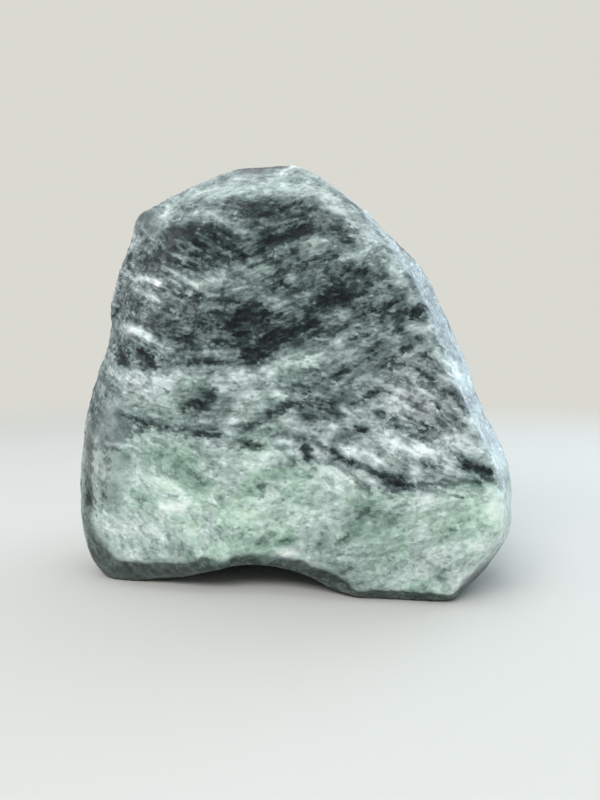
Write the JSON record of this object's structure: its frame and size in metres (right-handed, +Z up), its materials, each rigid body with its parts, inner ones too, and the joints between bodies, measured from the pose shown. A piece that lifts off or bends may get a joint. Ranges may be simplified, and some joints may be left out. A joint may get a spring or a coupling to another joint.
{
  "type": "raw soapstone boulder",
  "caption": "Raw soapstone boulder, green-white talc below and dark foliated rock above, that stands on its broken underside as a carving blank or display stone.",
  "frame": {"origin": "centre of the bounding box on the resting plane, z = 0", "axes": "+X to the right across the broad front face, +Y from the front face to the back, +Z up"},
  "size_m": [0.2076, 0.1396, 0.1944],
  "materials": {
    "soapstone": "waxy satin, foliated, pale green talc with dark bands"
  },
  "bodies": {
    "root": {"soapstone": "soapstone"}
  },
  "joints": []
}
